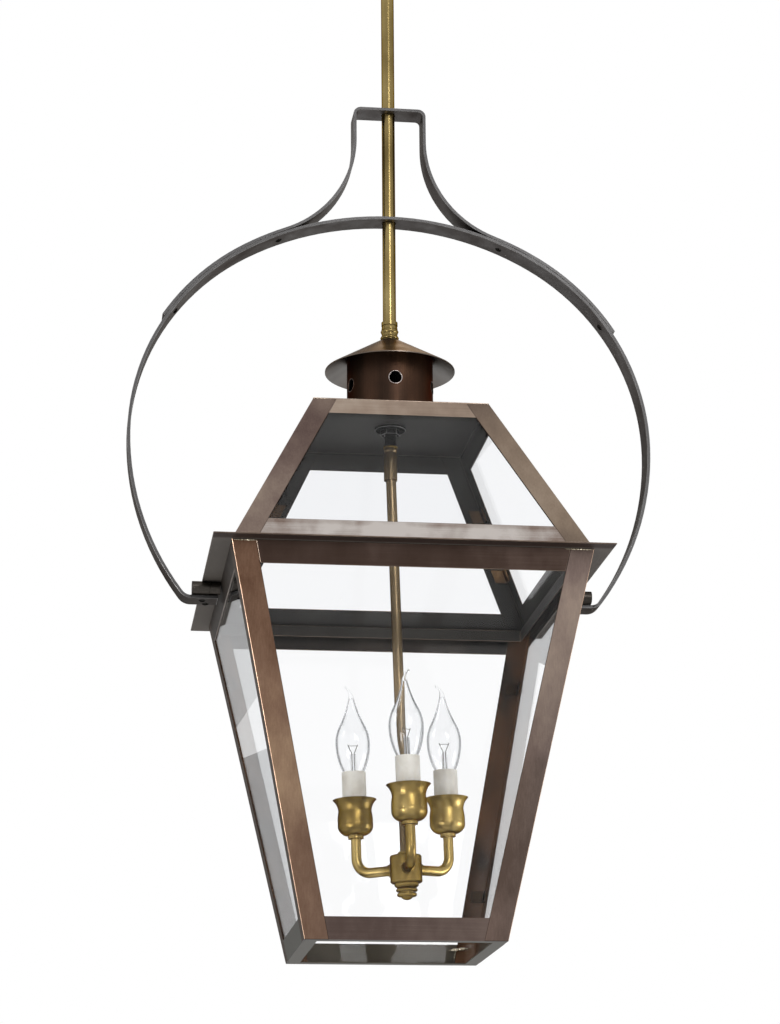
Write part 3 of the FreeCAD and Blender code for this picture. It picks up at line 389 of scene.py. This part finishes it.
def edge_line_finish(name, colour, corner=None, rough=0.3):
    """Metal colour along a fold, cut edge or seam, a painted highlight line where the colour is light; corner
    is the colour of an outer corner's fold.
    """
    shader = Shader(name)
    if corner:
        out = shader.node("ShaderNodeVectorMath", operation="NORMALIZE")
        shader.feed(out.inputs[0], shader.vector("MULTIPLY", shader.place, (1.0, 1.0, 0.0)))
        colour = shader.mix(shader.facing(out.outputs["Vector"], CORNER_FACING), colour, corner)
    # Dark patches break up the edge colour along its length
    patches = shader.ramp(shader.noise(*EDGE_PATCHES), [(0.35, 0.55), (0.6, 0.0)])
    shader.put(Base_Color=shader.mix(patches, colour, DARK_EDGE), Metallic=1.0, Roughness=rough)
    return shader.material


def turned_brass(name, tones, rough, edge_tint):
    """Satin brass with small dark specks and soft colour change; edge_tint is its tone at a slant."""
    shader = Shader(name)
    cloud = shader.noise(*BRASS_CLOUD)
    speck = shader.noise(*BRASS_SPECK)
    tone = shader.vary(cloud, [(speck, BRASS_SPECK_WEIGHT)])
    shader.put(Base_Color=shader.ramp(tone, list(zip(NARROW_PLACES, tones))), Metallic=1.0,
               Specular_Tint=edge_tint, Roughness=shader.gloss(tone, rough, *BRASS_GLOSS))
    shader.bump(speck, *BRASS_RELIEF)
    return shader.material


def clear_glass(name, tint, index, grazing, slants, outline=None):
    """Clear glass that lets lamp light through without a dark shadow, deeper in tone at a slant, partly for
    the longer path through the glass and partly as painted shade for the darker surroundings it shows there.

    A low refractive index keeps the sheen of a flat pane faint. The outline is a painted dark edge where a
    blown wall is seen on edge.
    """
    shader = Shader(name)
    slant = shader.node("ShaderNodeLayerWeight").outputs["Facing"]
    shader.put(Transmission_Weight=1.0, Roughness=0.0, IOR=index,
               Base_Color=shader.ramp(slant, list(zip(slants, (tint, grazing)))))
    glass = shader.surface.outputs["BSDF"]
    if outline:
        wall = shader.node("ShaderNodeBsdfTransparent")
        shader.feed(wall.inputs["Color"], outline)
        edge_on = shader.ramp(slant, list(zip(OUTLINE_SLANT, (0.0, 1.0))))
        glass = shader.blend(edge_on, glass, wall.outputs["BSDF"])
    path = shader.node("ShaderNodeLightPath")
    through = shader.node("ShaderNodeBsdfTransparent")
    lit = shader.calculate("MAXIMUM", path.outputs["Is Shadow Ray"], path.outputs["Is Diffuse Ray"])
    shader.feed(shader.output.inputs["Surface"], shader.blend(lit, glass, through.outputs["BSDF"]))
    return shader.material


def moulded(name, base, shade, rough, scatter=0.0):
    """Moulded plastic or fibre with a faint mottle."""
    shader = Shader(name)
    cloud = shader.noise(*MOULDED_CLOUD)
    grain = shader.noise(*MOULDED_GRAIN)
    tone = shader.vary(cloud, [(grain, MOULDED_GRAIN_WEIGHT)])
    shader.put(Base_Color=shader.ramp(tone, [(0.35, shade), (0.6, base)]), Subsurface_Weight=scatter,
               Roughness=shader.gloss(tone, rough, *MOULDED_GLOSS))
    shader.surface.inputs["Subsurface Radius"].default_value = SCATTER_DEPTH
    shader.bump(grain, *MOULDED_RELIEF)
    return shader.material


def body_finishes():
    """Finishes of the body's posts and rails."""
    tint = paint(190, 165, 145)
    # Painted light and shade: the posts lighter in a band a little below mid-height and darker at the head,
    # the right posts lighter high up and darker low down, the rails lighter towards the right
    post_levels = (FOOT, EAVE, [(0.0, 0.35), (0.12, 0.35), (0.38, 0.9), (0.5, 0.8), (0.75, 0.3),
                                (1.0, -0.1)])
    far_levels = (FOOT, EAVE, [(0.0, 0.35), (0.2, 0.1), (0.45, 0.3), (0.65, 0.75), (0.88, 0.75),
                               (1.0, 0.2)])
    flat_levels = (FOOT, EAVE, [(0.0, 0.5), (1.0, 0.5)])
    top_across = (-0.15, 0.15, [(0.0, 0.3), (1.0, 0.65)])
    foot_across = (-0.1, 0.1, [(0.0, 0.5), (1.0, 0.85)])
    far_tones = paints((84, 72, 66), (112, 97, 91), (146, 130, 118))
    # Inner faces darker partly by patina and partly by painted shade; faces that look left take painted
    # shade, and the bottom rails' undersides a painted pale grey reflection
    return [
        ("corner_post", sheet_metal(
            "copper_post", paints((88, 64, 50), (122, 96, 79), (160, 133, 108)), post_levels,
            UPRIGHT_GRAIN, tint, inside=paints((60, 51, 45), (124, 90, 66)), flank=paint(58, 49, 43),
            right=(far_tones, far_levels))),
        ("body_top_rails", sheet_metal(
            "copper_top_rail", paints((50, 38, 32), (66, 53, 47), (92, 77, 70)), flat_levels,
            LEVEL_GRAIN, tint, inside=(DARK_PATINA_AND_SHADE, paint(66, 60, 56)), flank=paint(42, 38, 35),
            across=top_across)),
        ("body_bottom_rails", sheet_metal(
            "copper_bottom_rail", paints((70, 57, 52), (88, 74, 69), (114, 99, 92)), flat_levels,
            LEVEL_GRAIN, tint, inside=paints((66, 63, 56), (84, 80, 72)),
            under=paints((100, 99, 95), (100, 99, 95)), flank=paint(78, 78, 74), across=foot_across)),
    ]


def roof_finishes():
    """Finishes of the roof, the eave and the chimney head."""
    tint = paint(200, 185, 170)
    # Painted light and shade: the hips lighter low down and darker near the top, the right hips lightest a
    # third of the way up, the eave's front dark along its foot and lighter in its middle than at its ends,
    # the chimney with a painted highlight right of its middle
    hip_levels = (EAVE, ROOF_TOP, [(0.0, 0.6), (0.3, 0.6), (0.5, 0.5), (0.75, 0.2), (1.0, 0.35)])
    far_levels = (EAVE, ROOF_TOP, [(0.0, 0.15), (0.2, 0.5), (0.35, 0.75), (0.6, 0.5), (0.8, 0.35),
                                   (1.0, 0.1)])
    flat_levels = (EAVE, ROOF_TOP, [(0.0, 0.5), (1.0, 0.5)])
    eave_levels = (EAVE, EAVE + 0.02, [(0.0, 0.0), (0.06, 0.0), (0.1, 0.8), (0.8, 0.9), (1.0, 0.7)])
    eave_across = (-0.15, 0.15, [(0.0, 0.25), (0.3, 0.55), (0.55, 0.65), (0.8, 0.5), (1.0, 0.2)])
    chimney_across = (-0.041, 0.041, [(0.0, 0.4), (0.45, 0.45), (0.65, 0.8), (0.85, 0.45), (1.0, 0.4)])
    far_tones = paints((102, 89, 79), (132, 116, 101), (158, 142, 126))
    # Inner faces darker partly by patina and partly by painted shade; the eave's undersides take painted
    # shade, darkest behind the front lip, and the cone's underside is a painted pale grey reflection
    return [
        ("roof_plate", sheet_metal(
            "copper_roof", paints((114, 97, 85), (150, 133, 119), (180, 166, 152)), flat_levels,
            LEVEL_GRAIN, tint, inside=(DARK_PATINA_AND_SHADE, CHARCOAL))),
        ("roof_hip", sheet_metal(
            "copper_hip", paints((84, 68, 66), (114, 98, 91), (146, 131, 118)), hip_levels,
            UPRIGHT_GRAIN, tint, inside=(DARK_PATINA_AND_SHADE, CHARCOAL), right=(far_tones, far_levels))),
        ("eave_plate", sheet_metal(
            "copper_eave", paints((36, 27, 24), (124, 108, 99), (190, 183, 178)), eave_levels,
            LEVEL_GRAIN, tint, inside=(DARK_PATINA_AND_SHADE, CHARCOAL), under=paints((48, 38, 34), (90, 85, 80)),
            across=eave_across)),
        ("chimney", sheet_metal(
            "copper_chimney", paints((44, 34, 28), (66, 48, 38), (128, 96, 74)), flat_levels,
            UPRIGHT_GRAIN, paint(172, 152, 138), inside=(DARK_PATINA_AND_SHADE, CHARCOAL), across=chimney_across,
            rough=0.42, band=30.0)),
        ("vent_cone", sheet_metal(
            "copper_cone", paints((76, 67, 60), (107, 96, 87), (144, 131, 119)), flat_levels,
            UPRIGHT_GRAIN, paint(148, 141, 134), inside=paints((138, 137, 136), (166, 165, 164)),
            dull=False)),
    ]


def strap_finishes():
    """Finishes of the yoke and the small fasteners."""
    low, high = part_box("hoop_strap")[0].z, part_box("crown_strap")[1].z
    levels = (low, high, [(0.0, 0.2), (0.3, 0.4), (0.5, 0.5), (1.0, 0.45)])
    clip_levels = (FOOT, ROOF_TOP, [(0.3, 0.1), (0.66, 0.2), (0.72, 0.62), (0.8, 0.62), (0.86, 0.4)])
    tint = paint(150, 148, 145)
    # Painted shade on the straps' faces that look to the front
    strap = sheet_metal(
        "bronze_strap", paints((72, 67, 65), (112, 109, 108), (146, 145, 145)), levels,
        SOFT_GRAIN, tint, front=paint(74, 73, 73), rough=0.4, relief=0.05)
    nut = sheet_metal(
        "dark_fastener", paints((30, 29, 28), (44, 43, 41), (66, 64, 61)), levels,
        EVEN_GRAIN, paint(90, 90, 88))
    hinge = sheet_metal(
        "bronze_hinge", paints((44, 40, 36), (72, 68, 64), (112, 107, 102)), levels,
        EVEN_GRAIN, tint, rough=0.3)
    clip = sheet_metal(
        "copper_clip", paints((40, 33, 27), (84, 66, 50), (176, 140, 100)), clip_levels,
        EVEN_GRAIN, tint)
    return [("hoop_strap", strap), ("crown_strap", strap), ("pivot_", hinge), ("yoke_rivets", nut),
            ("glass_clips", clip), ("ceiling", nut), ("support_nipple", nut)]


def light_finishes():
    """Finishes of the rod, the cluster and the lamps; the last one serves every piece not named before."""
    gold_tint, dull_tint = paints((120, 100, 55), (110, 95, 70))
    rod = turned_brass("rod_brass", paints((106, 91, 56), (132, 115, 74), (156, 139, 94)), 0.24, gold_tint)
    stem = turned_brass("stem_brass", paints((88, 74, 54), (116, 100, 76), (140, 122, 96)), 0.34, dull_tint)
    cup = turned_brass("cup_brass", paints((92, 74, 36), (132, 110, 60), (172, 150, 96)), 0.34, gold_tint)
    nickel = turned_brass("lamp_nickel", paints((66, 64, 60), (108, 105, 99), (150, 147, 140)), 0.25,
                          dull_tint)
    sleeve = moulded("candle_sleeve", paint(226, 223, 215), paint(208, 203, 192), 0.45, 0.15)
    socket = moulded("socket", paint(48, 48, 48), paint(32, 32, 32), 0.35)
    clear = (0.985, 0.987, 0.99)
    lamp = clear_glass("lamp_glass", (0.982, 0.985, 0.99), LAMP_INDEX, (0.86, 0.87, 0.88), LAMP_SLANT,
                       outline=(0.68, 0.69, 0.7))
    pane = clear_glass("pane_glass", clear, PANE_INDEX, (0.64, 0.66, 0.68), PANE_SLANT)
    roof = clear_glass("roof_glass", (0.94, 0.945, 0.955), PANE_INDEX, (0.85, 0.86, 0.88), PANE_SLANT)
    bright = clear_glass("bright_glass", clear, BRIGHT_INDEX, (0.95, 0.96, 0.97), PANE_SLANT)
    # The right panes take a copy of the glass with a fainter sheen and a paler slant tone, the roof panes a
    # greyer copy: painted light and shade on one glass
    return [("body_pane_right", bright), ("roof_pane_right", bright), ("body_pane", pane),
            ("roof_pane", roof), ("lamp_glass", lamp), ("lamp_base", nickel), ("lamp_socket", socket),
            ("candle_sleeve", sleeve), ("inner_stem", stem), ("stem_coupling", stem), ("down_rod", rod),
            ("rod_coupling", rod), ("", cup)]


def ease_edges(thing, width):
    """Round a piece's sharp edges a little; the rounding takes the piece's second finish."""
    join = thing.modifiers.new("join", "WELD")
    join.merge_threshold = WELD_GAP
    ease = thing.modifiers.new("ease", "BEVEL")
    ease.width = width
    ease.segments = EASE_SEGMENTS
    ease.limit_method = "ANGLE"
    ease.angle_limit = math.radians(EASE_ANGLE)
    ease.material = 1
    even = thing.modifiers.new("even", "WEIGHTED_NORMAL")
    even.keep_sharp = True


def finish_nodes():
    """Give every piece of the frame its finish, and the sheet pieces their eased edges."""
    finishes = body_finishes() + roof_finishes() + strap_finishes() + light_finishes()
    copper_edge = edge_line_finish("copper_edge", DARK_EDGE, COPPER_EDGE)
    hip_edge = edge_line_finish("hip_edge", HIP_EDGE, DARK_EDGE)
    strap_edge = edge_line_finish("strap_edge", STRAP_EDGE)
    rail_edge = edge_line_finish("rail_edge", RAIL_EDGE)
    # Start of the piece's name, finish of the rounding, its width in metres; the light finishes paint
    # highlight lines on the edges
    eased = [("corner_post", copper_edge, 0.0004), ("roof_hip", hip_edge, 0.0004),
             ("hoop_strap", strap_edge, 0.0004), ("crown_strap", strap_edge, 0.0004),
             ("body_top", rail_edge, 0.0005), ("eave_plate", rail_edge, 0.0005),
             ("roof_plate", rail_edge, 0.0003), ("ceiling", strap_edge, 0.0005)]
    for name, thing in nodes.items():
        thing.data.materials.clear()
        thing.data.materials.append(next(finish for start, finish in finishes if name.startswith(start)))
        for start, edge, width in eased:
            if name.startswith(start):
                thing.data.materials.append(edge)
                ease_edges(thing, width)


def solder_finish():
    """Bright tin solder with a grey skin."""
    shader = Shader("solder")
    skin = shader.noise(*SOLDER_SKIN)
    shader.put(Base_Color=shader.ramp(skin, [(0.35, paint(110, 98, 76)), (0.6, paint(216, 206, 184))]),
               Metallic=1.0, Roughness=shader.span(skin, 0.35, 0.65, 0.4, 0.2))
    shader.bump(skin, *SOLDER_RELIEF)
    return shader.material


def tube(name, path, radii, closed, finish):
    """Round bead along a path, with a radius at each place, riding on the lantern."""
    mesh = bmesh.new()
    rings = []
    count = len(path)
    turns = [2 * math.pi * corner / TUBE_SIDES for corner in range(TUBE_SIDES)]
    for place, centre in enumerate(path):
        before = path[place - 1] if closed or place else centre
        after = path[(place + 1) % count] if closed or place < count - 1 else centre
        along = (after - before).normalized()
        side = along.cross(Vector((centre.x, centre.y, 0.0))).normalized()
        over = side.cross(along)
        spokes = [side * math.cos(turn) + over * math.sin(turn) for turn in turns]
        rings.append([mesh.verts.new(centre + spoke * radii[place]) for spoke in spokes])
    joints = list(zip(rings, rings[1:])) + ([(rings[-1], rings[0])] if closed else [])
    for first, second in joints:
        for corner in range(TUBE_SIDES):
            after = (corner + 1) % TUBE_SIDES
            mesh.faces.new((first[corner], first[after], second[after], second[corner])).smooth = True
    if not closed:
        mesh.faces.new(rings[0][::-1])
        mesh.faces.new(rings[-1])
    bmesh.ops.recalc_face_normals(mesh, faces=mesh.faces)
    data = bpy.data.meshes.new(name)
    mesh.to_mesh(data)
    mesh.free()
    bead = bpy.data.objects.new(name, data)
    bpy.context.scene.collection.objects.link(bead)
    data.materials.append(finish)
    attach(bead, "lantern")


def solder_bead(name, start, end, width, seed, finish):
    """Uneven bead of solder along a seam, thin at both ends and sunk into the seam by half."""
    least_steps, spacing = 8, width * 0.35
    thin, middle, swing, swell_pace = 0.12, 0.55, 0.6, 0.55
    sway_reach, sway_pace = 0.3 * width, 0.4
    end_thin, end_rise = 0.15, 4.0
    run = end - start
    count = max(least_steps, int(run.length / spacing))
    across = run.normalized().orthogonal().normalized()
    path, radii = [], []
    for step in range(count + 1):
        share = step / count
        swell = max(thin, middle + swing * noise.noise(Vector((step * swell_pace, seed, 0.0))))
        taper = max(end_thin, min(1.0, end_rise * share, end_rise * (1.0 - share)))
        sway = sway_reach * noise.noise(Vector((step * sway_pace, 0.0, seed)))
        path.append(start + run * share + across * sway)
        radii.append(width * swell * taper)
    tube(name, path, radii, False, finish)


def make_solder():
    """Solder at the heads of all posts, and at the foot seams and in the nooks of the right corners."""
    head_width, seam_width, nook_width = 0.0013, 0.0008, 0.0026
    head_seed, seam_seed, nook_seed = 1.7, 5.3, 9.1
    head_growth, head_inset, head_drop = 0.004, 0.001, 0.0008
    seam_lift, seam_margin = 0.003, 0.004
    nook_inset, nook_depth, nook_drop = 0.006, 0.003, 0.004
    nook_reach = Vector((-0.020, 0.0, -0.002))
    finish = solder_finish()
    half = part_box("body_top_rails")[1].x
    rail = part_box("body_bottom_rails")[1]
    slope = (half - rail.x) / (EAVE - rail.z)
    foot = half - slope * (EAVE - FOOT)
    for number, (side_x, side_y) in enumerate(CORNERS):
        head = Vector((side_x * (half - head_inset), side_y * half, EAVE - head_drop))
        inward = Vector((-side_x * (POST_FACE + head_growth * number), 0.0, 0.0))
        solder_bead("solder_head_%d" % number, head, head + inward, head_width, head_seed + number, finish)
        if side_x > 0:
            seam = Vector((foot - POST_FACE, side_y * foot, FOOT + seam_lift))
            rise = rail.z - FOOT - seam_margin
            climb = Vector((slope * rise, side_y * slope * rise, rise))
            solder_bead("solder_seam_%d" % number, seam, seam + climb, seam_width, seam_seed + number, finish)
            nook = Vector((foot - nook_inset, side_y * (foot - nook_depth), rail.z - nook_drop))
            far = nook + nook_reach
            solder_bead("solder_nook_%d" % number, nook, far, nook_width, nook_seed + number, finish)


def ring(name, centre, radius, thickness, finish):
    """Bead that runs level round a centre."""
    turns = [2 * math.pi * step / RING_STEPS for step in range(RING_STEPS)]
    path = [centre + radius * Vector((math.cos(turn), math.sin(turn), 0.0)) for turn in turns]
    tube(name, path, [thickness] * len(path), True, finish)


def make_collars():
    """Turned beads at the couplings of the rod and the stem."""
    low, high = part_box("rod_coupling")
    rod_brass = nodes["rod_coupling"].data.materials[0]
    # Height over the coupling's foot, how far the bead stands proud, radius of its section
    beads = [(0.002, 0.0011, 0.0018), (0.0085, 0.0008, 0.0035)]
    for number, (lift, proud, thickness) in enumerate(beads):
        centre = Vector((0.0, 0.0, low.z + lift))
        radius = high.x + proud - thickness
        ring("coupling_bead_%d" % number, centre, radius, thickness, rod_brass)
    low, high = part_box("stem_coupling")
    cup_brass = nodes["candle_cup_front"].data.materials[0]
    drop, inset, thickness = 0.0016, 0.0006, 0.0012
    head = Vector(((low.x + high.x) / 2, (low.y + high.y) / 2, high.z - drop))
    ring("stem_bead", head, high.x - inset, thickness, cup_brass)


def make_hip_seams():
    """Dark seams where the hips lie over the roof's rails and panes."""
    finish = edge_line_finish("dark_seam", DARK_EDGE, rough=0.5)
    low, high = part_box("roof_hip_front_left")
    wide, narrow = -low.x, HIP_FACE - high.x
    radius, sunk, beside = 0.0004, 0.0007, 0.0003
    for number, (side_x, side_y) in enumerate(CORNERS):
        for face in range(2):
            path = []
            for step in range(SEAM_STEPS + 1):
                share = step / SEAM_STEPS
                outer = wide + (narrow - wide) * share
                across, depth = outer - HIP_FACE - beside, outer - sunk
                flat = (across, depth) if face == 0 else (depth, across)
                level = low.z + (high.z - low.z) * share
                path.append(Vector((side_x * flat[0], side_y * flat[1], level)))
            radii = [radius] * len(path)
            tube("hip_seam_%d_%d" % (number, face), path, radii, False, finish)


def make_vent_rims():
    """Rims of the holes punched through the chimney, the front one with a painted highlight."""
    # Painted highlight on the front rim; the others keep a dim copper colour
    bright = edge_line_finish("vent_rim_bright", paint(196, 186, 182))
    dim = edge_line_finish("vent_rim", paint(84, 66, 56))
    thickness = 0.00034
    low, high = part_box("chimney")
    for number in range(VENT_COUNT):
        heading = math.radians(-90 + 360 * number / VENT_COUNT)
        path = []
        for step in range(VENT_STEPS):
            turn = 2 * math.pi * step / VENT_STEPS
            around = heading + math.asin(VENT_RADIUS * math.cos(turn) / high.x)
            level = low.z + VENT_HEIGHT + VENT_RADIUS * math.sin(turn)
            path.append(Vector((high.x * math.cos(around), high.x * math.sin(around), level)))
        finish = dim if number else bright
        tube("vent_rim_%d" % number, path, [thickness] * VENT_STEPS, True, finish)


def make_camera():
    """Camera at the photograph's place and angle."""
    data = bpy.data.cameras.new("photograph")
    camera = bpy.data.objects.new("photograph", data)
    bpy.context.scene.collection.objects.link(camera)
    heading = Euler((math.radians(90 + CAMERA_PITCH), 0.0, math.radians(-CAMERA_YAW)), "XYZ").to_matrix()
    turn = heading @ Matrix.Rotation(math.radians(CAMERA_ROLL), 3, "Z")
    camera.matrix_world = Matrix.Translation(CAMERA_PLACE) @ turn.to_4x4()
    data.sensor_width = SENSOR
    data.lens = FOCAL_PIXELS / IMAGE_HEIGHT * SENSOR
    data.clip_end = CLIP_END
    bpy.context.scene.camera = camera


def make_world():
    """White surroundings, softer for the light that they throw on the object."""
    world = bpy.data.worlds.new("studio")
    bpy.context.scene.world = world
    shader = WorldShader(world)
    shader.put(Color=WHITE, Strength=WORLD_LIGHT)
    white = shader.node("ShaderNodeBackground")
    shader.feed(white.inputs["Strength"], 1.0)
    shader.feed(white.inputs["Color"], WHITE)
    both = shader.blend(shader.seen_directly(), shader.surface.outputs["Background"],
                        white.outputs["Background"])
    shader.feed(shader.output.inputs["Surface"], both)


def make_floor():
    """Plain pale floor that keeps the object's shadow."""
    bpy.ops.mesh.primitive_plane_add(size=FLOOR_SIZE, location=(0.0, 0.0, FLOOR_LEVEL))
    floor = bpy.context.object
    floor.name = "floor"
    ground = Shader("pale_floor")
    ground.put(Base_Color=(FLOOR_TONE, FLOOR_TONE, FLOOR_TONE), Roughness=MATT)
    glow = ground.node("ShaderNodeEmission")
    ground.feed(glow.inputs["Color"], WHITE)
    share = ground.calculate("MULTIPLY", ground.seen_directly(), FLOOR_GLOW)
    both = ground.blend(share, ground.surface.outputs["BSDF"], glow.outputs["Emission"])
    ground.feed(ground.output.inputs["Surface"], both)
    floor.data.materials.append(ground.material)


def make_cards():
    """Grey studio cards behind the object, seen only as reflections, above all in the left pane."""
    # Name, place, size, lean in degrees, tone
    cards = [("high_card", (-0.61, 2.7, 0.336), (1.0, 1.6, 1.0), -56, 0.6),
             ("low_card", (-0.5, 2.75, -0.98), (2.4, 1.2, 1.0), 0, 0.42)]
    for name, place, size, lean, tone in cards:
        grey = Shader(name)
        grey.put(Base_Color=(tone, tone, tone), Roughness=MATT)
        turn = [math.radians(part) for part in (90, lean, 0)]
        bpy.ops.mesh.primitive_plane_add(size=1.0, location=place, rotation=turn)
        card = bpy.context.object
        card.name = name
        card.scale = size
        card.data.materials.append(grey.material)
        for ray in ("camera", "diffuse", "transmission", "shadow", "volume_scatter"):
            setattr(card, "visible_" + ray, False)


def make_lights():
    """Soft area lights: a tall one in front, two low ones at the sides, and one behind."""
    # Name, place, width and height in metres, power in watts
    lights = [("key", (0.55, -2.9, 0.48), 0.4, 1.35, 24.0), ("left", (-1.8, -1.8, -1.4), 0.7, 0.7, 18.0),
              ("right", (2.4, -0.6, -1.4), 0.8, 0.8, 18.0), ("back", (0.6, 1.9, 1.8), 1.2, 1.2, 24.0)]
    for name, place, width, height, power in lights:
        data = bpy.data.lights.new(name, "AREA")
        data.shape = "RECTANGLE"
        data.size = width
        data.size_y = height
        data.energy = power
        lamp = bpy.data.objects.new(name, data)
        lamp.location = place
        lamp.rotation_euler = (LIGHT_TARGET - Vector(place)).to_track_quat("-Z", "Y").to_euler()
        bpy.context.scene.collection.objects.link(lamp)


bpy.context.scene.view_settings.view_transform = "Standard"
finish_nodes()
make_solder()
make_collars()
make_hip_seams()
make_vent_rims()
make_world()
make_floor()
make_cards()
make_lights()
make_camera()
